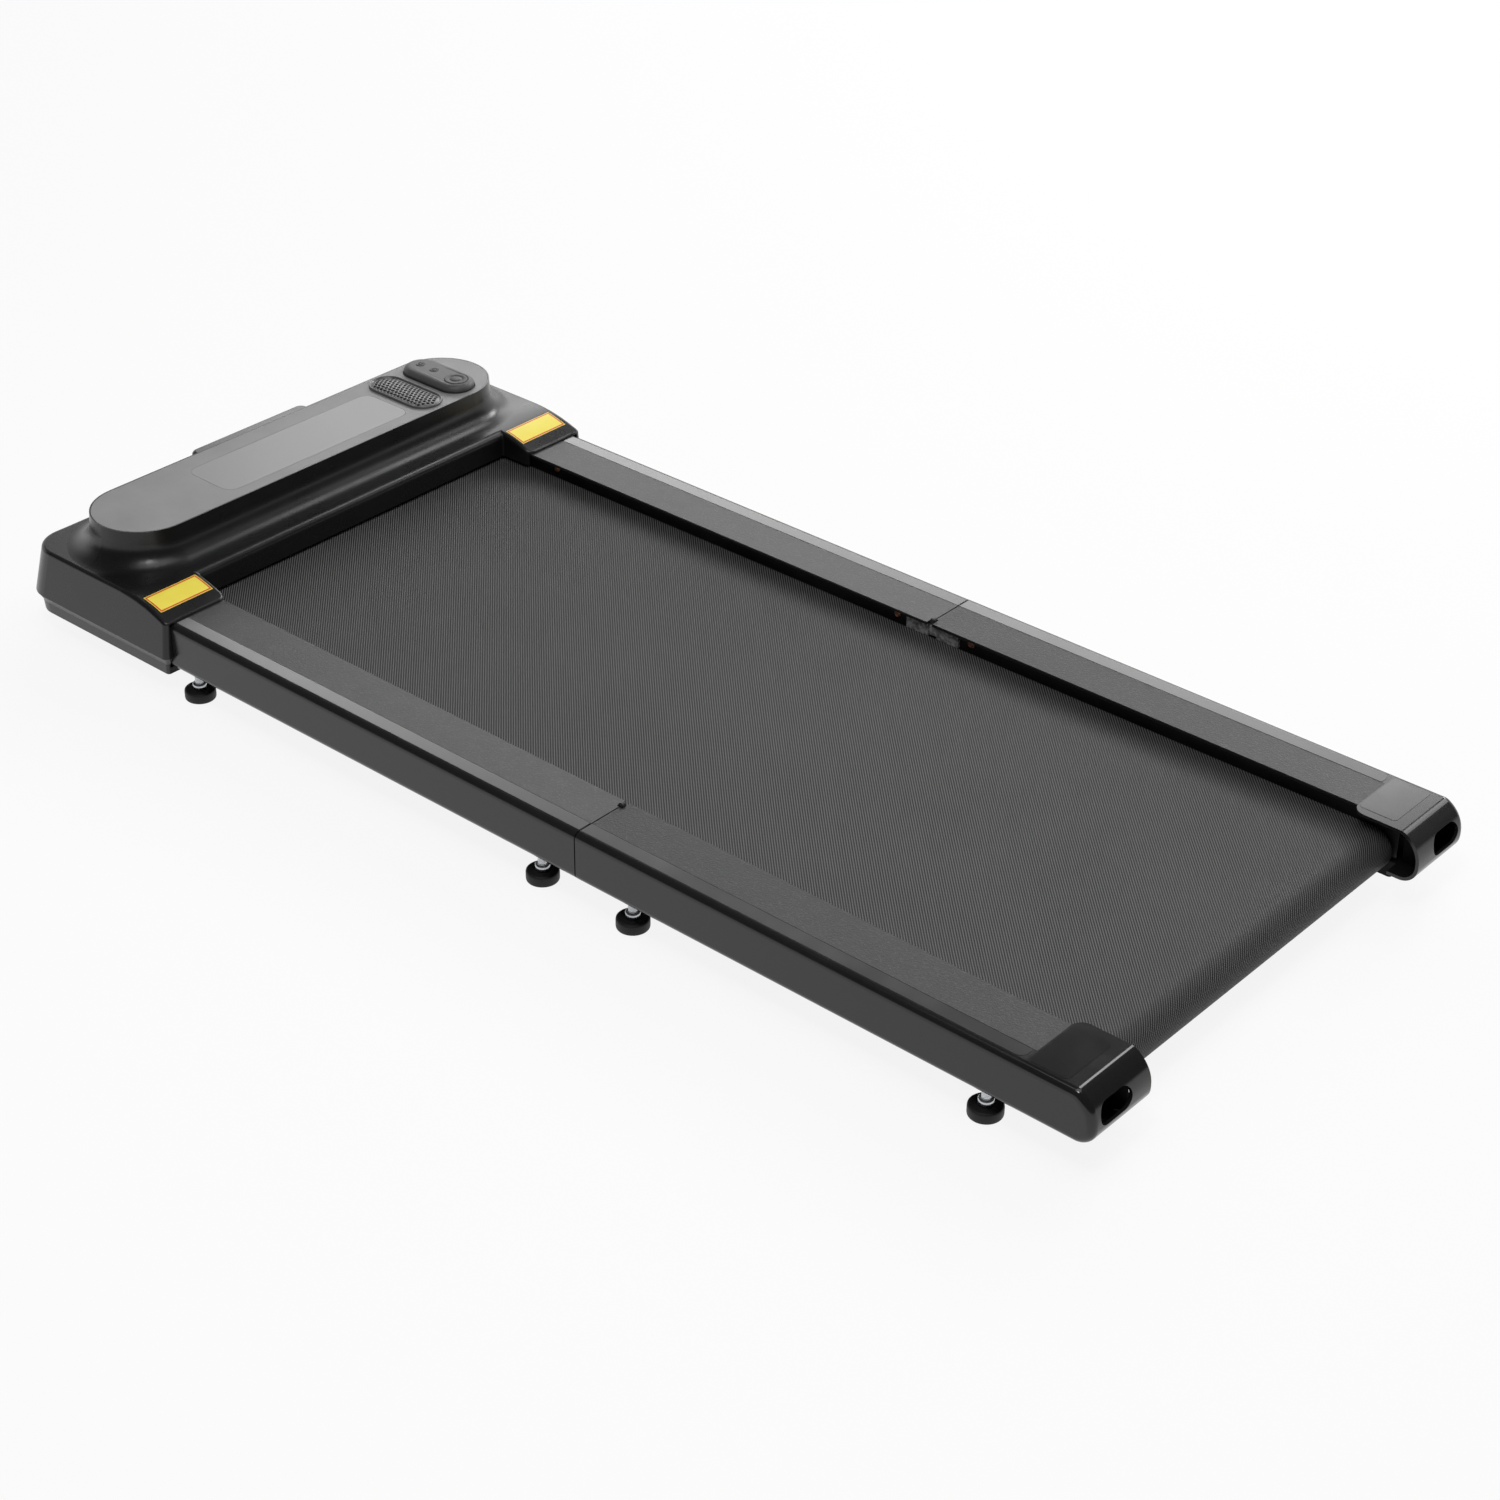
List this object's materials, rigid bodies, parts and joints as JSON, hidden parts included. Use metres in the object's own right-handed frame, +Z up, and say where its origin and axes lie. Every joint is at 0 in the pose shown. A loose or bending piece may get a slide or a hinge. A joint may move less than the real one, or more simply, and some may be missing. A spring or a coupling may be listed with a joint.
{
  "type": "walking pad",
  "caption": "Flat folding walking pad: belt between two grip-strip rails that fold at a mid seam, front hood with console panel, display window, speaker and docked remote.",
  "frame": {"origin": "middle of the footprint on the floor", "axes": "+X to the hood (front), +Y to the walker's left, +Z up"},
  "size_m": [1.246, 0.552, 0.134],
  "materials": {
    "hood_gloss": "glossy moulded black",
    "pan_black": "fine-grained black",
    "cover_black": "satin dark grey with glossy edges",
    "grip_grain": "sand-like anti-slip grain",
    "belt_rubber": "ribbed dark grey",
    "frame_paint": "black powder coat",
    "zinc": "bright zinc plate",
    "steel": "turned steel",
    "deck_wood": "pressed board, dark film",
    "black_rubber": "matte black",
    "panel_grey": "satin grey",
    "window_grey": "smoked silver lens",
    "grille_silver": "perforated, satin",
    "remote_dark": "soft dark grey",
    "button_grey": "satin grey",
    "inlet_black": "plain black",
    "rocker_black": "glossy black",
    "motor_paint": "dark enamel",
    "cast_grey": "as cast",
    "board_green": "printed board",
    "speaker_black": "pressed basket, paper cone",
    "wheel_grey": "hard plastic"
  },
  "bodies": {
    "front_half": {"front_rail_left": "frame_paint", "front_rail_right": "frame_paint", "front_crossmembers": "frame_paint", "front_chassis_tray": "frame_paint", "front_deck_board": "deck_wood", "front_deck_cushions": "black_rubber", "front_side_cover_left": "cover_black", "front_side_cover_right": "cover_black", "front_grip_strips": "grip_grain", "front_hinge_leaves": "zinc", "walking_belt": "belt_rubber", "front_roller_axle": "steel", "motor_housing": "motor_paint", "motor_bracket": "zinc", "drive_belt": "black_rubber", "motor_controller": "cast_grey", "hood": "hood_gloss", "bottom_pan": "pan_black", "console_panel": "panel_grey", "display_window": "window_grey", "display_board": "board_green", "speaker_grille": "grille_silver", "speaker_driver": "speaker_black", "power_entry_module": "inlet_black", "transport_wheel_axles": "steel"},
    "rear_half": {"rear_rail_left": "frame_paint", "rear_rail_right": "frame_paint", "rear_crossmembers": "frame_paint", "rear_deck_board": "deck_wood", "rear_deck_cushions": "black_rubber", "rear_side_cover_left": "cover_black", "rear_side_cover_right": "cover_black", "rear_grip_strips": "grip_grain", "rear_hinge_leaves": "zinc", "rear_axle_and_blocks": "steel"},
    "front_roller": {"front_roller": "steel", "front_roller_bearings": "steel", "front_roller_pulley": "cast_grey"},
    "motor_rotor": {"motor_rotor": "steel", "motor_pulley": "cast_grey"},
    "rear_roller": {"rear_roller": "steel", "rear_roller_bearings": "steel"},
    "power_rocker": {"power_rocker": "rocker_black"},
    "remote": {"remote_base": "remote_dark", "remote_top": "remote_dark"},
    "remote_start_button": {"remote_start_button": "button_grey"},
    "remote_faster_button": {"remote_faster_button": "button_grey"},
    "remote_slower_button": {"remote_slower_button": "button_grey"},
    "transport_wheel_left": {"transport_wheel_left": "wheel_grey"},
    "transport_wheel_right": {"transport_wheel_right": "wheel_grey"},
    "tension_bolt_left": {"tension_bolt_left": "zinc"},
    "tension_bolt_right": {"tension_bolt_right": "zinc"},
    "front_foot_outer_left": {"front_foot_outer_left": "black_rubber"},
    "front_foot_outer_right": {"front_foot_outer_right": "black_rubber"},
    "front_foot_inner_left": {"front_foot_inner_left": "black_rubber"},
    "front_foot_inner_right": {"front_foot_inner_right": "black_rubber"},
    "rear_foot_outer_left": {"rear_foot_outer_left": "black_rubber"},
    "rear_foot_outer_right": {"rear_foot_outer_right": "black_rubber"},
    "rear_foot_inner_left": {"rear_foot_inner_left": "black_rubber"},
    "rear_foot_inner_right": {"rear_foot_inner_right": "black_rubber"}
  },
  "joints": [
    {"name": "fold", "type": "hinge", "parent": "front_half", "child": "rear_half", "pos_m": [-0.1, 0, 0.0763], "axis": [0, 1, 0], "range_deg": [0, 180], "deforming": ["walking_belt"]},
    {"name": "front_roller_spin", "type": "hinge", "parent": "front_half", "child": "front_roller", "pos_m": [0.48, 0, 0.04], "axis": [0, 1, 0], "continuous": true},
    {"name": "rear_roller_spin", "type": "hinge", "parent": "rear_half", "child": "rear_roller", "pos_m": [-0.571, 0, 0.04], "axis": [0, 1, 0], "continuous": true},
    {"name": "motor_spin", "type": "hinge", "parent": "front_half", "child": "motor_rotor", "pos_m": [0.533, 0, 0.0595], "axis": [0, 1, 0], "continuous": true},
    {"name": "power_rocker_tilt", "type": "hinge", "parent": "front_half", "child": "power_rocker", "pos_m": [0.607, 0.02, 0.066], "axis": [0, 1, 0], "range_deg": [0, 16]},
    {"name": "remote_lift", "type": "slide", "parent": "front_half", "child": "remote", "axis": [0, 0, 1], "range_m": [0, 0.08]},
    {"name": "remote_start_button_press", "type": "slide", "parent": "remote", "child": "remote_start_button", "axis": [0, 0, -1], "range_m": [0, 0.0008], "stiffness_N_per_m": 500},
    {"name": "remote_faster_button_press", "type": "slide", "parent": "remote", "child": "remote_faster_button", "axis": [0, 0, -1], "range_m": [0, 0.0008], "stiffness_N_per_m": 500},
    {"name": "remote_slower_button_press", "type": "slide", "parent": "remote", "child": "remote_slower_button", "axis": [0, 0, -1], "range_m": [0, 0.0008], "stiffness_N_per_m": 500},
    {"name": "transport_wheel_left_spin", "type": "hinge", "parent": "front_half", "child": "transport_wheel_left", "pos_m": [0.597, 0.235, 0.02], "axis": [0, 1, 0], "continuous": true},
    {"name": "tension_bolt_left_turn", "type": "hinge", "parent": "rear_half", "child": "tension_bolt_left", "pos_m": [-0.6, 0.237, 0.0525], "axis": [1, 0, 0], "continuous": true},
    {"name": "transport_wheel_right_spin", "type": "hinge", "parent": "front_half", "child": "transport_wheel_right", "pos_m": [0.597, -0.235, 0.02], "axis": [0, 1, 0], "continuous": true},
    {"name": "tension_bolt_right_turn", "type": "hinge", "parent": "rear_half", "child": "tension_bolt_right", "pos_m": [-0.6, -0.237, 0.0525], "axis": [1, 0, 0], "continuous": true},
    {"name": "front_foot_outer_left_turn", "type": "hinge", "parent": "front_half", "child": "front_foot_outer_left", "pos_m": [0.3945, 0.253, 0.005], "axis": [0, 0, 1], "continuous": true},
    {"name": "front_foot_outer_right_turn", "type": "hinge", "parent": "front_half", "child": "front_foot_outer_right", "pos_m": [0.3945, -0.253, 0.005], "axis": [0, 0, 1], "continuous": true},
    {"name": "front_foot_inner_left_turn", "type": "hinge", "parent": "front_half", "child": "front_foot_inner_left", "pos_m": [-0.048, 0.253, 0.005], "axis": [0, 0, 1], "continuous": true},
    {"name": "front_foot_inner_right_turn", "type": "hinge", "parent": "front_half", "child": "front_foot_inner_right", "pos_m": [-0.048, -0.253, 0.005], "axis": [0, 0, 1], "continuous": true},
    {"name": "rear_foot_outer_left_turn", "type": "hinge", "parent": "rear_half", "child": "rear_foot_outer_left", "pos_m": [-0.517, 0.253, 0.005], "axis": [0, 0, 1], "continuous": true},
    {"name": "rear_foot_outer_right_turn", "type": "hinge", "parent": "rear_half", "child": "rear_foot_outer_right", "pos_m": [-0.517, -0.253, 0.005], "axis": [0, 0, 1], "continuous": true},
    {"name": "rear_foot_inner_left_turn", "type": "hinge", "parent": "rear_half", "child": "rear_foot_inner_left", "pos_m": [-0.152, 0.253, 0.005], "axis": [0, 0, 1], "continuous": true},
    {"name": "rear_foot_inner_right_turn", "type": "hinge", "parent": "rear_half", "child": "rear_foot_inner_right", "pos_m": [-0.152, -0.253, 0.005], "axis": [0, 0, 1], "continuous": true}
  ],
  "couplings": [
    {"joint": "rear_roller_spin", "follows": "front_roller_spin", "ratio": 1},
    {"joint": "motor_spin", "follows": "front_roller_spin", "ratio": 1.5}
  ]
}
